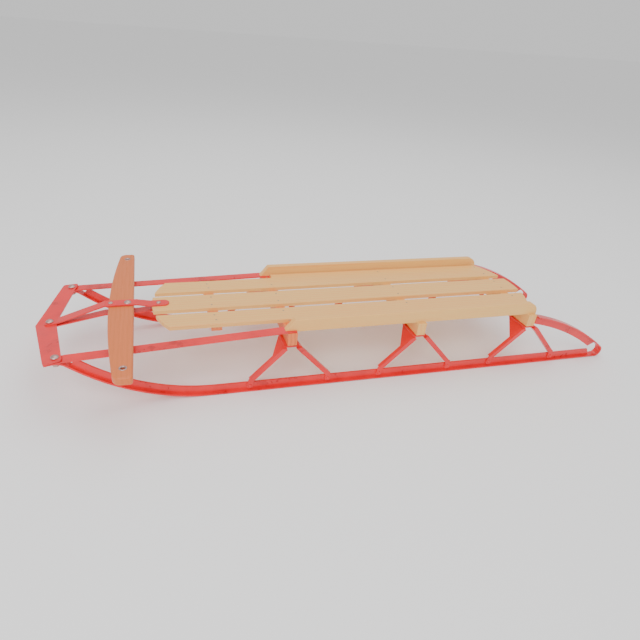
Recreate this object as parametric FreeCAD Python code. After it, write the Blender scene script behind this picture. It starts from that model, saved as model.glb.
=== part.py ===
import FreeCAD, Part
import math
import os

# Runner sled: steel T-bar runners and knees, wooden deck, bar steering.
# X runs forward, Y to the sled's left, Z up; the floor is Z = 0. Millimetres.

V = FreeCAD.Vector

# ---- overall ----
nose_reach = 531.0       # front bench to the tip of the bumper
front_bay = 305.0        # front bench to middle bench
rear_bay = 295.0         # middle bench to rear bench
tail_reach = 245.0       # rear bench to the back of the runner loop
deck_top = 145.0
runner_y = 151.0         # centre of each runner's web

length = nose_reach + front_bay + rear_bay + tail_reach
nose_x = length / 2
tail_x = -length / 2
bench_x = {"front": nose_x - nose_reach}
bench_x["middle"] = bench_x["front"] - front_bay
bench_x["rear"] = bench_x["middle"] - rear_bay

# ---- deck ----
slat_t = 9.0
centre_slat_w = 64.0
side_slat_w = 72.0       # behind the front bench
side_nose_w = 52.0       # ahead of it
side_step_x = 10.0       # step, behind the front bench's centre
side_step_r = 6.0
slat_gap = 19.0
slat_round = 1.5         # eased top edges
slat_nose = 287.0        # front bench to the tip of the centre slat
slat_tail = 43.0         # rear bench to the back of the centre slat
nose_bow = 176.0         # radius of the deck's front outline
tail_bow = 215.0         # radius of its rear outline

bench_w = 21.0
bench_h = 31.0
bench_round = 2.0
bench_half = runner_y    # a bench ends over the runners' webs

cleat_w = 23.0
cleat_t = 10.0
cleat_x = bench_x["front"] + 155.0
cleat_half = 100.0

rail_gap = 5.0           # side slat to rail
rail_t = 15.0
rail_h = 28.0
rail_lead = 17.0         # rail ahead of the front bench, at its foot
rail_trail = 12.5        # rail behind the rear bench
rail_slant = 23.0        # how far the front end leans back
rail_tail_r = 24.0       # round top corner at the back
rail_round = 1.5

deck_z = deck_top - slat_t
side_slat_y = centre_slat_w / 2 + slat_gap
deck_half = side_slat_y + side_slat_w
rail_y = deck_half + rail_gap
bench_z = deck_z - bench_h

# ---- runners: T-bar bent round nose and tail ----
tee_h = 21.0
tee_w = 18.0
flange_t = 3.5
web_t = 4.0
nose_r = 445.0           # underside of the front sweep
nose_start = 165.0       # front bench to where the sweep leaves the floor
nose_angle = 38.0
nose_rise = 20.0         # straight length above the sweep
tab_r = 26.0             # bend back to the bumper tab
tab_angle = -9.0
tab_len = 17.0
loop_r = 17.0            # outside of the tail loop
loop_angle = 37.0        # slope of the strip where it leaves the loop
web_gap = 22.0           # loop centre to where the web starts
curl_drop = 1.5          # top of the curl's end below the bench's top
web_clear = 9.0          # slot between web and bumper

# ---- knees ----
knee_spread = 90.0       # foot rivet from the bench's centre
leg_w = 10.5
leg_d = 9.0
foot_t = 3.0
foot_r = 7.5
foot_z = 12.5
leg_foot_z = tee_h + 4.5
knee_t = 3.0             # saddle under the bench
wing_in = 60.0           # how far the wing reaches in under the bench
wing_drop = 30.0

# ---- front frame ----
bar_t = 17.0
bar_half = 273.0
bar_mid_w = 53.0
bar_tip_w = 34.0
bar_round = 4.0
bar_tip_r = 16.0
bar_heel_r = 6.0
bar_back = 325.0         # front bench to the bar's rear edge
bar_lift = 5.0           # bar's top above the deck
strap_w = 24.0
strap_t = 3.0
strap_run = 0.5          # running gap between bar and each strap
strap_tail = 249.0       # front bench to the upper strap's round end
pivot_in = 12.5          # pivot bolt from the bar's rear edge
bolt_r = 4.0
bolt_run = 0.05
bolt_hole = 0.15
head_r = 8.0
head_h = 4.0
rope_in = 31.0           # rope hole from the bar's tip
rope_back = 17.0         # rope hole from the rear edge
rope_r = 5.0

stay_w = 24.0
stay_t = 3.0
stay_bench_y = runner_y - 15
stay_bumper_y = runner_y + 1
stay_end_z = 118.5       # stay's top where it meets the bumper
bumper_t = 3.0
bumper_w = 43.0
bumper_half = runner_y + 17
bumper_sweep = 40.0      # apex ahead of the ends
bumper_low = 108.0       # top of the leading edge at the apex
bumper_lift = 12.0       # leading edge rises this much to the ends
bumper_tilt = 9.0        # rear edge up, degrees
bumper_end_w = 34.0
bumper_skew = 5.0        # ends cut square to the bar, not to the sled
bumper_corner = 5.0
bumper_bolt_back = 20.0  # bolts behind the ends' leading edge
apex_bolt_back = 30.0    # bolt behind the apex
head_clear = 1.6         # a flat-bottomed head on a sloping plate


def box(x0, x1, y0, y1, z0, z1):
    return Part.makeBox(x1 - x0, y1 - y0, z1 - z0, V(x0, y0, z0))


def cylinder(r, h, x, y, z):
    return Part.makeCylinder(r, h, V(x, y, z))


def ring(points):
    """Closed face through points."""
    return Part.Face(Part.makePolygon(points + [points[0]]))


def side_plate(points, y0, y1):
    """Plate cut to an outline in X and Z."""
    return ring([V(x, y0, z) for x, z in points]).extrude(V(0, y1 - y0, 0))


def fuse(shapes):
    solid = shapes[0].fuse(shapes[1:]) if len(shapes) > 1 else shapes[0]
    return solid.removeSplitter()


def mirrored(shape):
    return shape.mirror(V(0, 0, 0), V(0, 1, 0))


def edges_where(shape, test):
    return [e for e in shape.Edges if test(e)]


def flat_at(e, z):
    box_e = e.BoundBox
    return abs(box_e.ZMin - z) < 0.01 and abs(box_e.ZMax - z) < 0.01


def write(name, shape):
    solid = shape
    if solid.ShapeType != "Solid" and len(solid.Solids) == 1:
        solid = solid.Solids[0]
    if not solid.isValid() or not solid.Solids:
        raise ValueError(name + " is not a valid solid")
    os.makedirs("parts", exist_ok=True)
    solid.exportStep("parts/" + name + ".step")
    print(name, round(solid.Volume), len(solid.Solids))


# ---------------------------------------------------------------- deck

def deck_outline():
    """Plan shape of the whole deck: a bow at each end."""
    x1 = bench_x["front"] + slat_nose
    x0 = bench_x["rear"] - slat_tail
    front = cylinder(nose_bow, slat_t, x1 - nose_bow, 0, deck_z)
    rear = cylinder(tail_bow, slat_t, x0 + tail_bow, 0, deck_z)
    split = (x0 + x1) / 2
    rear_half = rear.common(box(x0, split, -deck_half, deck_half, deck_z, deck_top))
    rear_cap = box(x0 + tail_bow, split, -deck_half, deck_half, deck_z, deck_top)
    front_cap = box(split, x1 - nose_bow, -deck_half, deck_half, deck_z, deck_top)
    front_half = front.common(box(x1 - nose_bow, x1, -deck_half, deck_half, deck_z, deck_top))
    return fuse([rear_half, rear_cap, front_cap, front_half])


def slat(outline, y0, y1):
    plank = outline.common(box(tail_x, nose_x, y0, y1, deck_z, deck_top))
    if y0 > 0:
        notch = box(bench_x["front"] - side_step_x, nose_x, y0 + side_nose_w, y1 + 1,
                    deck_z - 1, deck_top + 1)
        corner = edges_where(notch, lambda e: abs(e.CenterOfMass.x - bench_x["front"] + side_step_x) < 0.01
                             and abs(e.CenterOfMass.y - y0 - side_nose_w) < 0.01)
        plank = plank.cut(notch.makeFillet(side_step_r, corner))
    return plank.makeFillet(slat_round, edges_where(plank, lambda e: flat_at(e, deck_top)))


def bench(x):
    beam = box(x - bench_w / 2, x + bench_w / 2, -bench_half, bench_half, bench_z, deck_z)
    low = edges_where(beam, lambda e: flat_at(e, bench_z))
    return beam.makeFillet(bench_round, low)


def side_rail():
    """Left rail on edge, with its front end cut back and its tail corner round."""
    x1 = bench_x["front"] + rail_lead
    x0 = bench_x["rear"] - rail_trail
    z1 = deck_z + rail_h
    shape = side_plate([(x0, deck_z), (x1, deck_z), (x1 - rail_slant, z1), (x0, z1)],
                       rail_y, rail_y + rail_t)
    corner = edges_where(shape, lambda e: abs(e.CenterOfMass.x - x0) < 0.01
                         and abs(e.CenterOfMass.z - z1) < 0.01)
    shape = shape.makeFillet(rail_tail_r, corner)
    top = edges_where(shape, lambda e: e.BoundBox.YLength < 0.01 and e.CenterOfMass.z > deck_z + 1)
    shape = shape.makeFillet(rail_round, top)
    seat = box(bench_x["front"] - bench_w / 2, x1 + 1, rail_y - 1, rail_y + rail_t + 1,
               deck_z - 1, deck_z + stay_t)
    return shape.cut(seat)


# ---------------------------------------------------------------- runners

def turn(point, angle, length_along):
    a = math.radians(angle)
    return (point[0] + length_along * math.cos(a), point[1] + length_along * math.sin(a))


def nose_path(depth):
    """Front of the runner, depth above its underside: floor point, arc, rise, bend, tab."""
    x = bench_x["front"] + nose_start
    centre = (x, nose_r)
    r = nose_r - depth
    arc = [(centre[0] + r * math.sin(math.radians(a)), centre[1] - r * math.cos(math.radians(a)))
           for a in (0, nose_angle / 2, nose_angle)]
    foot = turn((centre[0], centre[1]), nose_angle - 90, nose_r)
    bend_start = turn(foot, nose_angle, nose_rise)
    bend_centre = turn(bend_start, nose_angle - 90, tab_r)
    rb = tab_r + depth
    mid = (nose_angle + tab_angle) / 2
    bend = [turn(bend_centre, a + 90, rb) for a in (nose_angle, mid, tab_angle)]
    tab = turn(bend[2], tab_angle, tab_len)
    return arc, bend, tab


def loop_centre():
    return (tail_x + loop_r, loop_r)


def curl_circle():
    """Centre and radius of the long arc from the loop to the rear bench."""
    c = loop_centre()
    a = math.radians(loop_angle)
    start = (c[0] - loop_r * math.sin(a), c[1] + loop_r * math.cos(a))
    end = (bench_x["rear"] - bench_w / 2, deck_z - curl_drop)
    dx, dz = end[0] - start[0], end[1] - start[1]
    chord = math.hypot(dx, dz)
    swing = a - math.atan2(dz, dx)
    radius = chord / (2 * math.sin(swing))
    centre = (start[0] + radius * math.sin(a), start[1] - radius * math.cos(a))
    return centre, radius, loop_angle - 2 * math.degrees(swing)


def tail_arc(depth, a0, a1):
    """Points on the long arc, its slope running from a0 to a1."""
    centre, radius, _ = curl_circle()
    r = radius - depth
    return [turn(centre, a + 90, r) for a in (a0, (a0 + a1) / 2, a1)]


def edge_arc(points, y):
    return Part.Arc(*[V(x, y, z) for x, z in points]).toShape()


def edge_line(p, q, y):
    return Part.LineSegment(V(p[0], y, p[1]), V(q[0], y, q[1])).toShape()


def strip(edges, width):
    face = Part.Face(Part.Wire(Part.__sortEdges__(edges)))
    return face.extrude(V(0, width, 0))


def runner():
    """Left runner: running strip with an upright web inside it."""
    y = runner_y - tee_w / 2
    c = loop_centre()
    _, _, end_slope = curl_circle()
    edges = []
    ends = []
    for depth in (0, flange_t):
        arc, bend, tab = nose_path(depth)
        low = (c[0], depth)
        r = loop_r - depth
        loop = [turn(c, a, r) for a in (-90, 190, loop_angle + 90)]
        top = tail_arc(depth, loop_angle, end_slope)
        edges += [edge_arc(arc, y), edge_line(arc[2], bend[0], y), edge_arc(bend, y),
                  edge_line(bend[2], tab, y), edge_line(low, arc[0], y),
                  edge_arc(loop, y), edge_arc(top, y)]
        ends.append((tab, top[2]))
    edges += [edge_line(ends[0][0], ends[1][0], y), edge_line(ends[0][1], ends[1][1], y)]
    flange = strip(edges, tee_w)

    y = runner_y - web_t / 2
    outer_arc, outer_bend, _ = nose_path(flange_t)
    inner_arc, inner_bend, _ = nose_path(tee_h)
    web_end = turn(outer_bend[0], nose_angle, -web_clear)
    web_top = turn(inner_bend[0], nose_angle, -web_clear)
    x_web = c[0] + web_gap
    low_web = strip([edge_line((x_web - 8, flange_t), outer_arc[0], y), edge_arc(outer_arc, y),
                     edge_line(outer_arc[2], web_end, y), edge_line(web_end, web_top, y),
                     edge_line(web_top, inner_arc[2], y), edge_arc(inner_arc, y),
                     edge_line(inner_arc[0], (x_web, tee_h), y),
                     edge_line((x_web, tee_h), (x_web - 8, flange_t), y)], web_t)
    centre, radius, _ = curl_circle()
    swing = math.degrees(web_gap / radius)
    outer = tail_arc(flange_t, loop_angle - swing, end_slope)
    inner = tail_arc(tee_h, loop_angle - swing * 1.4, end_slope)
    top_web = strip([edge_arc(outer, y), edge_arc(inner, y), edge_line(outer[0], inner[0], y),
                     edge_line(outer[2], inner[2], y)], web_t)
    tee = fuse([flange, low_web, top_web]).cut(stay_space())
    tee = tee.cut(bumper_bolt_shank(bolt_r + bolt_hole))
    behind = box(bench_x["rear"] - bench_w / 2, bench_x["rear"], 0, 2 * runner_y, tee_h + 1, deck_top)
    return tee.cut(behind)


# ---------------------------------------------------------------- stays

def stay_line():
    """Side shape of the stay's top face: over the bench, down to the bumper, along it."""
    x0 = bench_x["front"] - bench_w / 2 + 1
    x1 = bench_x["front"] + bench_w / 2 + 4
    x3 = nose_x - bumper_sweep - 5
    x2 = x3 - 30
    z0 = deck_z + stay_t
    drop = (x3 - x2) * math.tan(math.radians(bumper_tilt))
    return [(x0, z0), (x1, z0), (x2, stay_end_z + 2), (x3, stay_end_z + 2 - drop)]


def stay_bottom(x):
    pts = stay_line()
    for p, q in zip(pts, pts[1:]):
        if p[0] <= x <= q[0]:
            return p[1] + (q[1] - p[1]) * (x - p[0]) / (q[0] - p[0]) - stay_t
    return pts[-1][1] - stay_t


def stay_space():
    """Everything above the stay's underside, which the web is trimmed to."""
    pts = [(x, z - stay_t) for x, z in stay_line()]
    return side_plate(pts + [(nose_x, pts[-1][1]), (nose_x, 2 * deck_top), (pts[0][0], 2 * deck_top)],
                      0, 2 * runner_y)


def stay():
    pts = stay_line()
    low = [(x, z - stay_t) for x, z in reversed(pts)]
    band = side_plate(pts + low, 0, 2 * runner_y)
    x0, x1 = pts[0][0], pts[-1][0]
    h = stay_w / 2
    plan = ring([V(x0, stay_bench_y - h, 0), V(x1, stay_bumper_y - h, 0),
                 V(x1, stay_bumper_y + h, 0), V(x0, stay_bench_y + h, 0)])
    shape = band.common(plan.extrude(V(0, 0, 2 * deck_top)))
    shape = shape.cut(bumper_face().extrude(V(0, 0, deck_top)))
    return shape.cut(bumper_bolt_shank(bolt_r + bolt_hole))


# ---------------------------------------------------------------- bumper

def bumper_top(x, y):
    """Height of the bumper's top face."""
    rise = bumper_lift * abs(y) / bumper_half
    lead = nose_x - bumper_sweep * abs(y) / bumper_half
    return bumper_low + rise + (lead - x) * math.tan(math.radians(bumper_tilt))


def bumper_face():
    """Underside of the bumper's left half, a flat four-sided facet."""
    end_x = nose_x - bumper_sweep
    tip, back = bumper_top(nose_x, 0), bumper_top(nose_x - bumper_w, 0)
    points = [V(nose_x, 0, tip), V(end_x, bumper_half, bumper_top(end_x, bumper_half)),
              V(end_x - bumper_end_w, bumper_half - bumper_skew, 0), V(nose_x - bumper_w, 0, back)]
    a, b, d = points[0], points[1], points[3]
    normal = (b - a).cross(d - a)
    corner = points[2]
    corner.z = a.z - (normal.x * (corner.x - a.x) + normal.y * (corner.y - a.y)) / normal.z
    return ring([p - V(0, 0, bumper_t) for p in points])


def bumper():
    """Wide flat bar folded once at the middle, rear edge up."""
    half = bumper_face().extrude(V(0, 0, bumper_t))
    plate = fuse([half, mirrored(half)])
    tips = edges_where(plate, lambda e: abs(e.CenterOfMass.y) > bumper_half - bumper_skew - 1
                       and e.BoundBox.YLength < 0.1 and e.BoundBox.XLength < 0.1)
    plate = plate.makeFillet(bumper_corner, tips)
    holes = bumper_bolt_shank(bolt_r + bolt_hole)
    plate = plate.cut(holes).cut(mirrored(holes))
    return plate.cut(centre_bolt_shank(bolt_r + bolt_hole))


def bumper_bolt_xy():
    return nose_x - bumper_sweep - bumper_bolt_back, stay_bumper_y - 2


def bumper_bolt_shank(r):
    x, y = bumper_bolt_xy()
    return cylinder(r, 60, x, y, stay_end_z - 30)


def centre_bolt_shank(r):
    return cylinder(r, 60, nose_x - apex_bolt_back, 0, bumper_low - 30)


def bolt(x, y, z0, z1):
    """Round-headed bolt with a nut, gripping from z0 to z1."""
    dome_r = (head_r ** 2 + head_h ** 2) / (2 * head_h)
    dome = Part.makeSphere(dome_r, V(x, y, z1 + head_h - dome_r))
    head = dome.common(cylinder(head_r, head_h, x, y, z1))
    shank = cylinder(bolt_r, z1 - z0, x, y, z0)
    nut = Part.Face(Part.makePolygon([V(x + 7 * math.cos(math.radians(60 * i)),
                                        y + 7 * math.sin(math.radians(60 * i)), z0 - 5)
                                      for i in range(7)])).extrude(V(0, 0, 5))
    return fuse([head, shank, nut])


# ---------------------------------------------------------------- straps and bar

bar_x = bench_x["front"] + bar_back
bar_top = deck_top + bar_lift
pivot_x = bar_x + pivot_in


def bent_strap(points, width):
    """Strap of constant thickness below the points given for its top face."""
    low = [(x, z - strap_t) for x, z in reversed(points)]
    return side_plate(points + low, -width / 2, width / 2)


def strap_upper():
    x_end = bench_x["front"] + strap_tail
    x_tip = nose_x - 18
    x_in = nose_x - bumper_w - 3
    z_bar = bar_top + strap_run + strap_t
    points = [(x_end, deck_top + strap_t), (bench_x["front"] + slat_nose + 2, deck_top + strap_t),
              (bar_x - 6, z_bar), (bar_x + bar_mid_w + 8, z_bar),
              (x_in, bumper_top(x_in, strap_w / 2) + strap_t),
              (x_tip, bumper_top(x_tip, strap_w / 2) + strap_t)]
    shape = bent_strap(points, strap_w)
    for x, sign in ((x_end, 1), (x_tip, -1)):
        r = strap_w / 2
        corner = box(min(x, x + sign * r), max(x, x + sign * r), -r, r, 0, 2 * deck_top)
        keep = cylinder(r, 2 * deck_top, x + sign * r, 0, 0)
        shape = shape.cut(corner.cut(keep))
    shape = shape.cut(centre_bolt_shank(bolt_r + bolt_hole))
    return shape.cut(cylinder(bolt_r + bolt_hole, 2 * deck_top, pivot_x, 0, 0))


def strap_lower():
    x_end = bench_x["front"] + strap_tail - 8
    x_tip = nose_x - 18
    x_in = nose_x - bumper_w - 3
    z_bar = bar_top - bar_t - strap_run
    under = bumper_t
    points = [(x_end, deck_z), (bench_x["front"] + slat_nose - 4, deck_z),
              (bar_x - 8, z_bar), (bar_x + bar_mid_w + 8, z_bar),
              (x_in, bumper_top(x_in, 0) - under), (x_tip, bumper_top(x_tip, 0) - under)]
    shape = bent_strap(points, strap_w - 2)
    shape = shape.cut(centre_bolt_shank(bolt_r + bolt_hole))
    return shape.cut(cylinder(bolt_r + bolt_hole, 2 * deck_top, pivot_x, 0, 0))


def steering_bar():
    """Board with a straight back, a bowed front and rounded tips."""
    z0 = bar_top - bar_t
    x1 = bar_x + bar_tip_w
    back = [V(bar_x, -bar_half, z0), V(bar_x, bar_half, z0)]
    tips = [V(x1, bar_half, z0), V(x1, -bar_half, z0)]
    crown = V(bar_x + bar_mid_w, 0, z0)
    wire = Part.Wire([Part.LineSegment(back[0], back[1]).toShape(),
                      Part.LineSegment(back[1], tips[0]).toShape(),
                      Part.Arc(tips[0], crown, tips[1]).toShape(),
                      Part.LineSegment(tips[1], back[0]).toShape()])
    board = Part.Face(wire).extrude(V(0, 0, bar_t))
    uprights = edges_where(board, lambda e: e.BoundBox.ZLength > bar_t - 0.1)
    front = [e for e in uprights if e.CenterOfMass.x > bar_x + 1]
    board = board.makeFillet(bar_tip_r, front)
    heel = edges_where(board, lambda e: e.BoundBox.ZLength > bar_t - 0.1
                       and e.CenterOfMass.x < bar_x + 0.1)
    board = board.makeFillet(bar_heel_r, heel)
    rims = edges_where(board, lambda e: flat_at(e, z0) or flat_at(e, bar_top))
    board = board.makeFillet(bar_round, rims)
    board = board.cut(cylinder(bolt_r + bolt_run, bar_t, pivot_x, 0, z0))
    for side in (1, -1):
        board = board.cut(cylinder(rope_r, bar_t, bar_x + rope_back, side * (bar_half - rope_in), z0))
    return board


# ---------------------------------------------------------------- knees

def knee(x):
    """Pressed A-frame: two legs, a saddle under the bench and a wing inside each leg."""
    web_face = runner_y + web_t / 2
    top_z = bench_z - knee_t
    parts = [box(x - bench_w / 2 - 6, x + bench_w / 2 + 6, bench_half - wing_in, bench_half,
                 top_z, bench_z)]
    for s in (1, -1):
        foot_x = x + s * knee_spread
        top_x = x + s * (bench_w / 2 + 4)
        leg_low = (foot_x - s * 2, leg_foot_z)
        leg_top = (top_x, top_z)
        dx, dz = leg_top[0] - leg_low[0], leg_top[1] - leg_low[1]
        run = math.hypot(dx, dz)
        nx, nz = dz / run * leg_w / 2, -dx / run * leg_w / 2
        leg = [(leg_low[0] + nx, leg_low[1] + nz), (leg_low[0] - nx, leg_low[1] - nz),
               (leg_top[0] - nx, leg_top[1] - nz), (leg_top[0] + nx, leg_top[1] + nz)]
        outer_y = web_face + foot_t
        post = side_plate(leg, outer_y - leg_d, outer_y)
        post = post.cut(box(x - 200, x + 200, 0, 2 * runner_y, top_z, deck_top))
        parts.append(post)
        foot = side_plate([(foot_x - foot_r, foot_z), (foot_x + foot_r, foot_z),
                           (leg_low[0] + abs(nx) + 1.5, leg_foot_z + abs(nz)),
                           (leg_low[0] - abs(nx) - 1.5, leg_foot_z + abs(nz))], web_face, outer_y)
        pad = Part.makeCylinder(foot_r, foot_t, V(foot_x, web_face, foot_z), V(0, 1, 0))
        parts += [foot, pad]
        thick = 2.5
        wing_z = top_z - wing_drop
        slope = (leg_top[0] - leg_low[0]) / (leg_top[1] - leg_low[1])
        low_x = top_x - slope * wing_drop
        wing = Part.Face(Part.makePolygon([V(top_x, bench_half - wing_in, top_z),
                                           V(top_x, outer_y - 1, top_z),
                                           V(low_x, outer_y - 1, wing_z),
                                           V(low_x, outer_y - leg_d, wing_z),
                                           V(top_x, bench_half - wing_in, top_z)]))
        parts.append(wing.extrude(V(-s * thick, 0, 0)))
    return fuse(parts)


# ---------------------------------------------------------------- build

def main():
    outline = deck_outline()
    write("slat_centre", slat(outline, -centre_slat_w / 2, centre_slat_w / 2))
    left_slat = slat(outline, side_slat_y, deck_half)
    for name, x in bench_x.items():
        write("bench_" + name, bench(x))
    write("front_cleat", box(cleat_x - cleat_w / 2, cleat_x + cleat_w / 2, -cleat_half, cleat_half,
                             deck_z - cleat_t, deck_z))
    lefts = {"slat": left_slat, "side_rail": side_rail(), "runner": runner(), "stay": stay()}
    for name, x in bench_x.items():
        lefts["knee_" + name] = knee(x)
    x, y = bumper_bolt_xy()
    lefts["bumper_bolt"] = bolt(x, y, stay_bottom(x) - flange_t - head_clear,
                                bumper_top(x, y) + head_clear)
    for name, shape in lefts.items():
        write(name + "_left", shape)
        write(name + "_right", mirrored(shape))
    write("bumper", bumper())
    write("strap_upper", strap_upper())
    write("strap_lower", strap_lower())
    write("steering_bar", steering_bar())
    z1 = bar_top + strap_run + strap_t
    write("pivot_bolt", bolt(pivot_x, 0, bar_top - bar_t - strap_run - strap_t, z1))
    x = nose_x - apex_bolt_back
    write("bumper_bolt_centre", bolt(x, 0, bumper_top(x, 0) - bumper_t - strap_t - head_clear,
                                     bumper_top(x, strap_w / 2) + strap_t + head_clear))


main()
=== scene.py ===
import math
import bmesh
import bpy
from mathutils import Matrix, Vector


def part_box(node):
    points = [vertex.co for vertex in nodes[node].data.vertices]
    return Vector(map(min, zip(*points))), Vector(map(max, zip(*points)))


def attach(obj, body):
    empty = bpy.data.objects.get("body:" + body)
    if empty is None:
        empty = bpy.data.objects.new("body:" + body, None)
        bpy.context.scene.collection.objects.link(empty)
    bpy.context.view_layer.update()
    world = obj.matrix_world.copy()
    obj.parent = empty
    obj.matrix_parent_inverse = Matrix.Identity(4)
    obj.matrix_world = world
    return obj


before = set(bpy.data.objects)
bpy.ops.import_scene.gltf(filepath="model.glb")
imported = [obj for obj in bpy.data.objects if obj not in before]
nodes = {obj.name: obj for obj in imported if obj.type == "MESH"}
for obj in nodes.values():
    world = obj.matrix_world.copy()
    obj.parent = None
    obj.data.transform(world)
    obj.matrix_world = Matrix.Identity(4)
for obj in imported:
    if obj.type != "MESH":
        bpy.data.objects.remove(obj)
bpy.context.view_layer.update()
print("frame loaded:", len(nodes), "nodes")


# ---- small node helpers, shared by the finishes ----

def newFinish(name):
    mat = bpy.data.materials.new(name)
    mat.use_nodes = True
    tree = mat.node_tree
    return mat, tree, tree.nodes["Principled BSDF"]


def stretched(tree, scale, offset):
    # object coordinates stretched along the grain
    coords = tree.nodes.new("ShaderNodeTexCoord")
    mapping = tree.nodes.new("ShaderNodeMapping")
    mapping.inputs["Scale"].default_value = scale
    mapping.inputs["Location"].default_value = offset
    tree.links.new(coords.outputs["Object"], mapping.inputs["Vector"])
    return mapping.outputs["Vector"]


def noise(tree, vector, scale, detail=4.0, roughness=0.55, distortion=0.0):
    node = tree.nodes.new("ShaderNodeTexNoise")
    node.inputs["Scale"].default_value = scale
    node.inputs["Detail"].default_value = detail
    node.inputs["Roughness"].default_value = roughness
    node.inputs["Distortion"].default_value = distortion
    tree.links.new(vector, node.inputs["Vector"])
    return node.outputs["Fac"]


def ramp(tree, fac, stops):
    node = tree.nodes.new("ShaderNodeValToRGB")
    els = node.color_ramp.elements
    while len(els) < len(stops):
        els.new(0.5)
    for el, (pos, colour) in zip(els, stops):
        el.position = pos
        el.color = (*colour, 1)
    tree.links.new(fac, node.inputs["Fac"])
    return node.outputs["Color"]


def mixColour(tree, fac, a, b, mode="MIX"):
    node = tree.nodes.new("ShaderNodeMix")
    node.data_type = "RGBA"
    node.blend_type = mode
    if isinstance(fac, float):
        node.inputs["Factor"].default_value = fac
    else:
        tree.links.new(fac, node.inputs["Factor"])
    for socket, value in (("A", a), ("B", b)):
        target = [s for s in node.inputs if s.name == socket and s.type == "RGBA"][0]
        if isinstance(value, tuple):
            target.default_value = (*value, 1)
        else:
            tree.links.new(value, target)
    return [s for s in node.outputs if s.type == "RGBA"][0]


def remap(tree, fac, low, high, outLow, outHigh):
    node = tree.nodes.new("ShaderNodeMapRange")
    node.inputs["From Min"].default_value = low
    node.inputs["From Max"].default_value = high
    node.inputs["To Min"].default_value = outLow
    node.inputs["To Max"].default_value = outHigh
    tree.links.new(fac, node.inputs["Value"])
    return node.outputs["Result"]


def bump(tree, shader, height, strength, distance):
    node = tree.nodes.new("ShaderNodeBump")
    node.inputs["Strength"].default_value = strength
    node.inputs["Distance"].default_value = distance
    tree.links.new(height, node.inputs["Height"])
    tree.links.new(node.outputs["Normal"], shader.inputs["Normal"])


# ---- wood ----

woods = {
    "deck": {"light": (0.92, 0.55, 0.16), "mid": (0.92, 0.44, 0.12), "dark": (0.92, 0.29, 0.07)},
    # the 'bench' tones are painted shade: a darker copy of the deck wood, used for the front bench and front
    # cleat that sit under the deck
    "bench": {"light": (0.90, 0.21, 0.05), "mid": (0.76, 0.16, 0.03), "dark": (0.49, 0.09, 0.015)},
    "bar": {"light": (0.72, 0.17, 0.035), "mid": (0.68, 0.16, 0.03), "dark": (0.53, 0.11, 0.02)},
    "growthScale": 34.0,      # growth lines across a metre
    "growthWander": 5.5,
    "broadScale": 26.0,       # slow change of tone across a board
    "broadDepth": 0.55,
    "fibreScale": 420.0,
    "fibreDepth": 0.42,
    "poreScale": 1500.0,
    "poreDepth": 0.35,
    "fibreRelief": (0.35, 0.0003),
    "stretch": 0.035,         # how long the grain runs
    "roughness": (0.38, 0.56),
    "varnish": 0.22,
    "varnishRoughness": 0.25,
    "softEdge": 0.0006,
}


def varnishedWood(name, tones, along, seed):
    mat, tree, shader = newFinish(name)
    run = woods["stretch"]
    scale = (run, 1, 1) if along == "x" else (1, run, 1)
    offset = (seed * 3.1, seed * 1.7, seed * 0.9)
    vector = stretched(tree, scale, offset)
    wave = tree.nodes.new("ShaderNodeTexWave")
    wave.wave_type = "BANDS"
    wave.bands_direction = "Y" if along == "x" else "X"
    wave.inputs["Scale"].default_value = woods["growthScale"]
    wave.inputs["Distortion"].default_value = woods["growthWander"]
    wave.inputs["Detail"].default_value = 3.0
    wave.inputs["Detail Scale"].default_value = 0.7
    tree.links.new(vector, wave.inputs["Vector"])
    stops = [(0.0, tones["mid"]), (0.45, tones["light"]), (1.0, tones["light"])]
    growth = ramp(tree, wave.outputs["Fac"], stops)
    broad = noise(tree, vector, woods["broadScale"], 3.0, 0.5, 0.6)
    shade = remap(tree, broad, 0.35, 0.75, 0.0, woods["broadDepth"])
    body = mixColour(tree, shade, growth, tones["mid"])
    fibre = noise(tree, vector, woods["fibreScale"], 6.0, 0.65, 0.2)
    streak = remap(tree, fibre, 0.52, 0.78, 0.0, woods["fibreDepth"])
    body = mixColour(tree, streak, body, tones["dark"])
    pores = noise(tree, vector, woods["poreScale"], 2.0, 0.5)
    pit = remap(tree, pores, 0.62, 0.72, 0.0, woods["poreDepth"])
    body = mixColour(tree, pit, body, tones["dark"])
    tree.links.new(body, shader.inputs["Base Color"])
    low, high = woods["roughness"]
    tree.links.new(remap(tree, fibre, 0.3, 0.7, low, high), shader.inputs["Roughness"])
    shader.inputs["Coat Weight"].default_value = woods["varnish"]
    shader.inputs["Coat Roughness"].default_value = woods["varnishRoughness"]
    bump(tree, shader, fibre, *woods["fibreRelief"])
    return mat


# ---- paint and steel ----

paint = {
    "red": (0.78, 0.006, 0.011),
    "deep": (0.45, 0.006, 0.006),
    "fresh": (0.92, 0.010, 0.016),
    "worn": (0.30, 0.28, 0.27),
    "roughness": (0.24, 0.42),
    "wearStart": 0.0004,
    "wearHeight": 0.0016,     # the running face is bare below this
    "cloudScale": 18.0,       # slow change of tone
    "speckScale": 260.0,
    "chipDepth": 0.75,
    "coat": 0.35,
    "coatRoughness": 0.12,
    "orangePeel": (520.0, 0.10, 0.0003),
    "softEdge": 0.0005,
}


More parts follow.
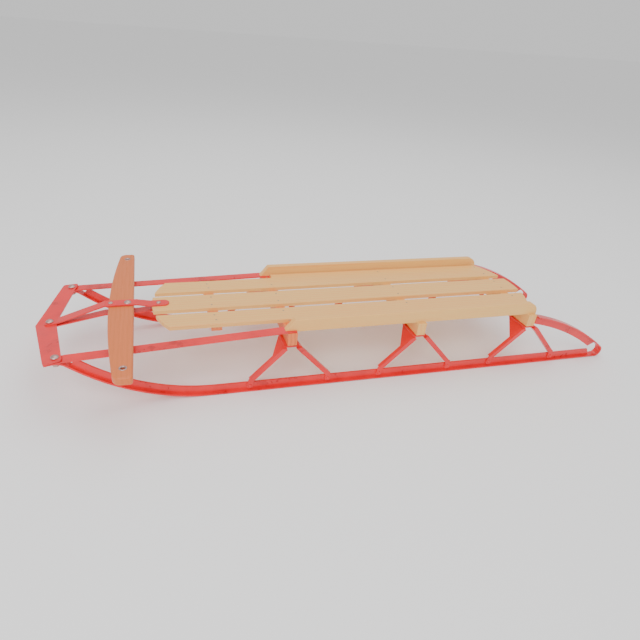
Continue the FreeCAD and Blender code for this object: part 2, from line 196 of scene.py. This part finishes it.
def enamel(name, worn):
    mat, tree, shader = newFinish(name)
    vector = stretched(tree, (1, 1, 1), (0, 0, 0))
    cloud = noise(tree, vector, paint["cloudScale"], 3.0, 0.6)
    body = ramp(tree, cloud, [(0.25, paint["deep"]), (0.42, paint["red"]), (0.72, paint["fresh"])])
    speck = noise(tree, vector, paint["speckScale"], 5.0, 0.7)
    chips = remap(tree, speck, 0.70, 0.73, 0.0, paint["chipDepth"])
    body = mixColour(tree, chips, body, paint["deep"])
    if worn:
        split = tree.nodes.new("ShaderNodeSeparateXYZ")
        tree.links.new(vector, split.inputs["Vector"])
        scuff = noise(tree, stretched(tree, (6, 240, 40), (0, 0, 0)), 1.0, 5.0, 0.7)
        edge = tree.nodes.new("ShaderNodeMath")
        edge.operation = "MULTIPLY"
        height = remap(tree, split.outputs["Z"], paint["wearStart"], paint["wearHeight"], 1.0, 0.0)
        tree.links.new(height, edge.inputs[0])
        tree.links.new(remap(tree, scuff, 0.40, 0.55, 0.0, 1.0), edge.inputs[1])
        body = mixColour(tree, edge.outputs["Value"], body, paint["worn"])
        tree.links.new(edge.outputs["Value"], shader.inputs["Metallic"])
    tree.links.new(body, shader.inputs["Base Color"])
    low, high = paint["roughness"]
    tree.links.new(remap(tree, cloud, 0.3, 0.7, low, high), shader.inputs["Roughness"])
    shader.inputs["Coat Weight"].default_value = paint["coat"]
    shader.inputs["Coat Roughness"].default_value = paint["coatRoughness"]
    peelScale, strength, distance = paint["orangePeel"]
    bump(tree, shader, noise(tree, vector, peelScale, 3.0, 0.5), strength, distance)
    return mat


steel = {
    "rivet": (0.62, 0.42, 0.38),
    "screw": (0.50, 0.37, 0.27),
    "grainScale": 700.0,
    "shadow": 0.6,            # how dark the grain's low side is
    "roughness": (0.28, 0.5),
    "metallic": 0.85,
    "relief": (0.2, 0.0002),
    "softEdge": 0.0004,
}


def plainSteel(name, tint):
    mat, tree, shader = newFinish(name)
    vector = stretched(tree, (1, 1, 1), (0, 0, 0))
    grain = noise(tree, vector, steel["grainScale"], 4.0, 0.6)
    tone = ramp(tree, grain, [(0.3, tuple(steel["shadow"] * c for c in tint)), (0.65, tint)])
    tree.links.new(tone, shader.inputs["Base Color"])
    low, high = steel["roughness"]
    tree.links.new(remap(tree, grain, 0.3, 0.7, low, high), shader.inputs["Roughness"])
    shader.inputs["Metallic"].default_value = steel["metallic"]
    bump(tree, shader, grain, *steel["relief"])
    return mat


print("finishes ready")


# ---- finishes on the frame's pieces ----

def dress(name, mat, softEdge):
    piece = nodes[name]
    for slot in piece.material_slots:
        slot.material = mat
    edge = piece.modifiers.new("easedEdge", "BEVEL")
    edge.width = softEdge
    edge.segments = 2
    edge.limit_method = "ANGLE"
    edge.angle_limit = math.radians(40)
    edge.harden_normals = True


boards = {
    "slat_left": ("deck", "x", 1), "slat_centre": ("deck", "x", 2), "slat_right": ("deck", "x", 3),
    "side_rail_left": ("deck", "x", 4), "side_rail_right": ("deck", "x", 5),
    # the front cleat and front bench take the darker 'bench' tones, which are painted shade; the middle and
    # rear benches keep the deck tones
    "front_cleat": ("bench", "y", 6), "bench_front": ("bench", "y", 7),
    "bench_middle": ("deck", "y", 8), "bench_rear": ("deck", "y", 9), "steering_bar": ("bar", "y", 10),
}
for name, (tone, along, seed) in boards.items():
    dress(name, varnishedWood(name + "Wood", woods[tone], along, seed), woods["softEdge"])

runnerPaint = enamel("runnerPaint", True)
framePaint = enamel("framePaint", False)
rivetSteel = plainSteel("rivetSteel", steel["rivet"])
screwSteel = plainSteel("screwSteel", steel["screw"])
for name in nodes:
    if name in boards:
        continue
    if name.startswith("runner"):
        dress(name, runnerPaint, paint["softEdge"])
    elif "bolt" in name:
        dress(name, rivetSteel, steel["softEdge"])
    else:
        dress(name, framePaint, paint["softEdge"])
print("boards and steel dressed")


# ---- rivets and screws ----

def domes(name, spots, radius, height, mat, body):
    # round heads at (place, outward) pairs, one mesh
    mesh = bmesh.new()
    for place, outward in spots:
        turn = Vector((0, 0, 1)).rotation_difference(Vector(outward)).to_matrix().to_4x4()
        made = bmesh.ops.create_uvsphere(mesh, u_segments=24, v_segments=12, radius=radius)
        for v in made["verts"]:
            v.co.z = max(v.co.z, -radius * 0.15) * height / radius
            v.co = turn @ v.co + Vector(place)
    data = bpy.data.meshes.new(name)
    mesh.to_mesh(data)
    mesh.free()
    data.polygons.foreach_set("use_smooth", [True] * len(data.polygons))
    obj = bpy.data.objects.new(name, data)
    bpy.context.collection.objects.link(obj)
    data.materials.append(mat)
    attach(obj, body)
    return obj


rivets = {"radius": 0.0046, "height": 0.0028, "footSpread": 0.090, "footHeight": 0.0125}
footSpots = []
for side in ("left", "right"):
    for place in ("front", "middle", "rear"):
        low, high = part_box("knee_%s_%s" % (place, side))
        mid = (low[0] + high[0]) / 2
        outer = high[1] if side == "left" else low[1]
        way = 1 if side == "left" else -1
        for s in (-1, 1):
            footSpots.append(((mid + s * rivets["footSpread"], outer, rivets["footHeight"]), (0, way, 0)))
domes("knee_rivets", footSpots, rivets["radius"], rivets["height"], framePaint, "sled")

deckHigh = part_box("slat_centre")[1]
deckTop = deckHigh[2]
screws = {"radius": 0.0021, "height": 0.0004, "inset": 0.014,
          "stray": 0.002, "strayRun": 40}
screwSpots = []
crossLines = [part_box(name) for name in ("bench_front", "bench_middle", "bench_rear", "front_cleat")]
for low, high in crossLines:
    x = (low[0] + high[0]) / 2
    for slatName in ("slat_left", "slat_centre", "slat_right"):
        slatLow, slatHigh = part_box(slatName)
        inner, outer = max(slatLow[1], low[1]), min(slatHigh[1], high[1])  # a short cleat ends sooner
        for y in (inner + screws["inset"], outer - screws["inset"]):
            # driven by hand, so not quite in line
            off = screws["stray"] * math.sin(screws["strayRun"] * y)
            screwSpots.append(((x + off, y, deckTop), (0, 0, 1)))
domes("deck_screws", screwSpots, screws["radius"], screws["height"], screwSteel, "sled")

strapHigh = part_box("strap_upper")[1]
barLow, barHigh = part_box("steering_bar")
strapRivets = {"radius": 0.0052, "height": 0.0030, "strapThick": 0.003,
               "fromDeckNose": 0.015, "fromBarFront": 0.005}
tailRivet = (deckHigh[0] - strapRivets["fromDeckNose"], 0, deckTop + strapRivets["strapThick"])
frontRivet = (barHigh[0] - strapRivets["fromBarFront"], 0, strapHigh[2])
strapSpots = [(tailRivet, (0, 0, 1)), (frontRivet, (0, 0, 1))]
domes("strap_rivets", strapSpots, strapRivets["radius"], strapRivets["height"],
      rivetSteel, "sled")
print("rivets and screws placed:", len(footSpots) + len(screwSpots) + len(strapSpots))


# ---- eyelets in the rope holes ----

eyelet = {"inner": 0.0047, "outer": 0.0078, "back": 0.017, "tip": 0.031, "lip": 0.0009,
          "depth": 0.004, "sunk": 0.0008, "steps": 40}


def eyelets():
    mesh = bmesh.new()
    steps = eyelet["steps"]
    centreX = barLow[0] + eyelet["back"]
    top = barHigh[2]
    for y in (barLow[1] + eyelet["tip"], barHigh[1] - eyelet["tip"]):
        profile = [(eyelet["inner"], top - eyelet["depth"]), (eyelet["inner"], top + 0.0002),
                   ((eyelet["inner"] + eyelet["outer"]) / 2, top + eyelet["lip"]),
                   (eyelet["outer"], top + 0.0001), (eyelet["outer"], top - eyelet["sunk"])]
        rings = []
        for r, z in profile:
            angles = [2 * math.pi * i / steps for i in range(steps)]
            rings.append([mesh.verts.new((centreX + r * math.cos(a), y + r * math.sin(a), z)) for a in angles])
        for a, b in zip(rings, rings[1:]):
            for i in range(steps):
                j = (i + 1) % steps
                mesh.faces.new((a[i], b[i], b[j], a[j]))
    bmesh.ops.recalc_face_normals(mesh, faces=mesh.faces)
    data = bpy.data.meshes.new("rope_eyelets")
    mesh.to_mesh(data)
    mesh.free()
    data.polygons.foreach_set("use_smooth", [True] * len(data.polygons))
    obj = bpy.data.objects.new("rope_eyelets", data)
    bpy.context.collection.objects.link(obj)
    data.materials.append(rivetSteel)
    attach(obj, "steering")


eyelets()
print("eyelets placed")


# ---- floor, light and camera ----

studio = {"floor": (0.95, 0.95, 0.95), "floorSize": 80.0, "floorRoughness": 0.9, "world": 0.8,
          "key": 84.0, "keyPlace": (1.6, 2.6, 2.6), "keySize": 2.4,
          "top": 46.0, "topPlace": (-0.4, -0.6, 3.2), "topSize": 3.0}


def areaLight(name, power, place, size):
    lamp = bpy.data.lights.new(name, "AREA")
    lamp.energy = power
    lamp.size = size
    obj = bpy.data.objects.new(name, lamp)
    obj.location = place
    obj.rotation_euler = (-Vector(place)).to_track_quat("-Z", "Y").to_euler()
    bpy.context.collection.objects.link(obj)


bpy.ops.mesh.primitive_plane_add(size=studio["floorSize"])
floor = bpy.context.object
floor.name = "studio_floor"
floorMat, _, floorShader = newFinish("studioFloor")
floorShader.inputs["Base Color"].default_value = (*studio["floor"], 1)
floorShader.inputs["Roughness"].default_value = studio["floorRoughness"]
floor.data.materials.append(floorMat)
areaLight("keyLight", studio["key"], studio["keyPlace"], studio["keySize"])
areaLight("topLight", studio["top"], studio["topPlace"], studio["topSize"])
world = bpy.data.worlds.new("studioWorld")
world.use_nodes = True
world.node_tree.nodes["Background"].inputs["Color"].default_value = (1, 1, 1, 1)
world.node_tree.nodes["Background"].inputs["Strength"].default_value = studio["world"]
bpy.context.scene.world = world

view = {"place": (0.4306, 1.0193, 0.6994), "turn": (60.03, -3.79, 165.97), "lens": 28.4,
        "shift": (0.0547, -0.0050)}
camData = bpy.data.cameras.new("viewCamera")
camData.lens = view["lens"]
camData.sensor_width = 36
camData.shift_x, camData.shift_y = view["shift"]
camera = bpy.data.objects.new("viewCamera", camData)
camera.location = view["place"]
camera.rotation_euler = [math.radians(a) for a in view["turn"]]
bpy.context.collection.objects.link(camera)
bpy.context.scene.camera = camera
print("studio ready")
